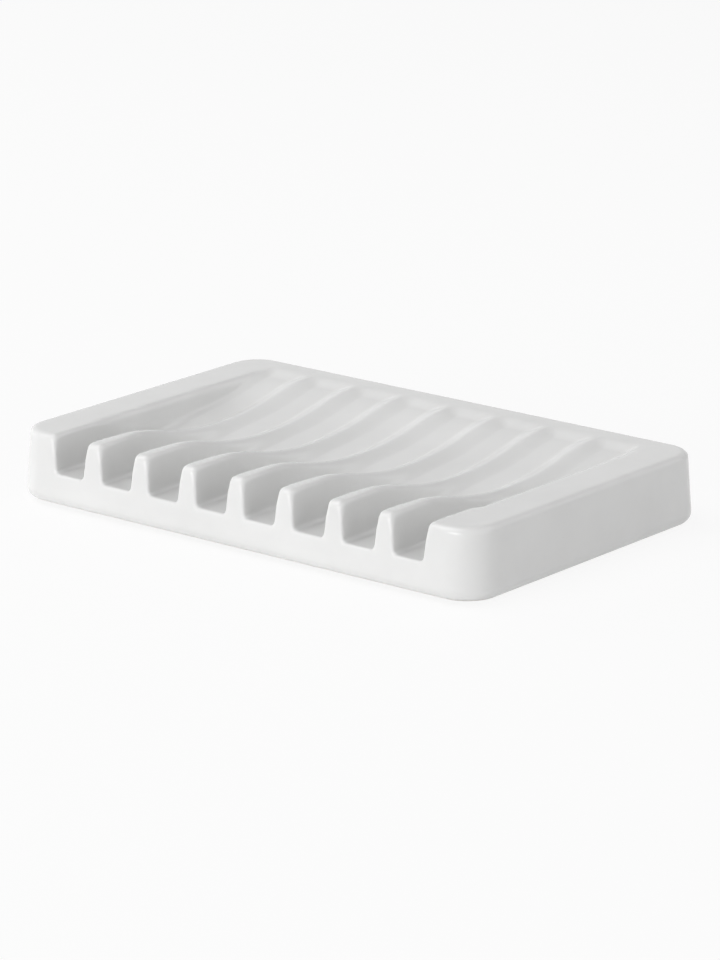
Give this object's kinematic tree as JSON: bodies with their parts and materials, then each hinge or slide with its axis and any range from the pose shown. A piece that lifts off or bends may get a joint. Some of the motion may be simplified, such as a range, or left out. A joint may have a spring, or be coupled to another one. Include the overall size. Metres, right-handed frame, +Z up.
{
  "type": "soap dish",
  "caption": "Low rectangular glazed ceramic soap dish with a swept hollow, ribs and drain grooves that open through the front face, on soft anti-slip pads.",
  "frame": {"origin": "centre of the plan, on the plane of the pads' undersides", "axes": "+X along the length, -Y towards the open ends of the grooves, +Z up"},
  "size_m": [0.1346, 0.0858, 0.0174],
  "materials": {
    "glaze": "glossy white glaze",
    "pad_rubber": "matt translucent white soft rubber"
  },
  "bodies": {
    "root": {"dish_body": "glaze", "foot_pad_front_left": "pad_rubber", "foot_pad_front_right": "pad_rubber", "foot_pad_rear_left": "pad_rubber", "foot_pad_rear_right": "pad_rubber"}
  },
  "joints": []
}
